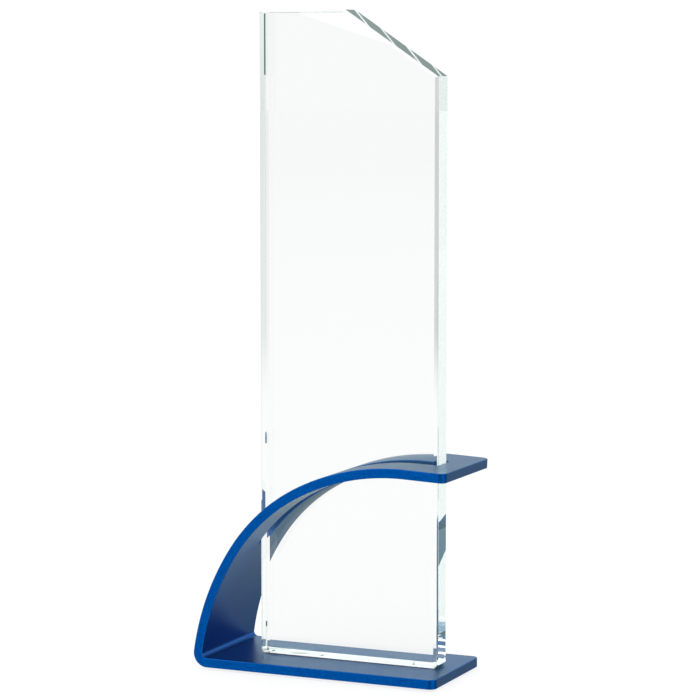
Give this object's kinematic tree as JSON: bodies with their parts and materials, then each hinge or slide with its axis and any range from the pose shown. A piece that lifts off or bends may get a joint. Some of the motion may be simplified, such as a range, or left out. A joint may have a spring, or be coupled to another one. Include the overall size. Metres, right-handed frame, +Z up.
{
  "type": "column trophy",
  "caption": "Clear glass column with a slanted top, standing through the slot of a bent blue metal strip stand with flat base, arch and tongue.",
  "frame": {"origin": "middle of the footprint (113.5 x 50 mm) on the surface the trophy stands on", "axes": "+Z up along the glass column, +X along the width towards the free ends of base and tongue, +Y from front to back"},
  "size_m": [0.1136, 0.05, 0.2752],
  "materials": {
    "anodised_blue": "blue anodised, satin blasted faces and fine brushed cut edges",
    "clear_glass": "polished, faint green tint in the edges",
    "clear_film": "clear adhesive film",
    "pad_rubber": "matt black"
  },
  "bodies": {
    "root": {"stand": "anodised_blue", "glass_column": "clear_glass", "bond_film": "clear_film", "foot_pad_front_left": "pad_rubber", "foot_pad_front_right": "pad_rubber", "foot_pad_back_left": "pad_rubber", "foot_pad_back_right": "pad_rubber"}
  },
  "joints": []
}
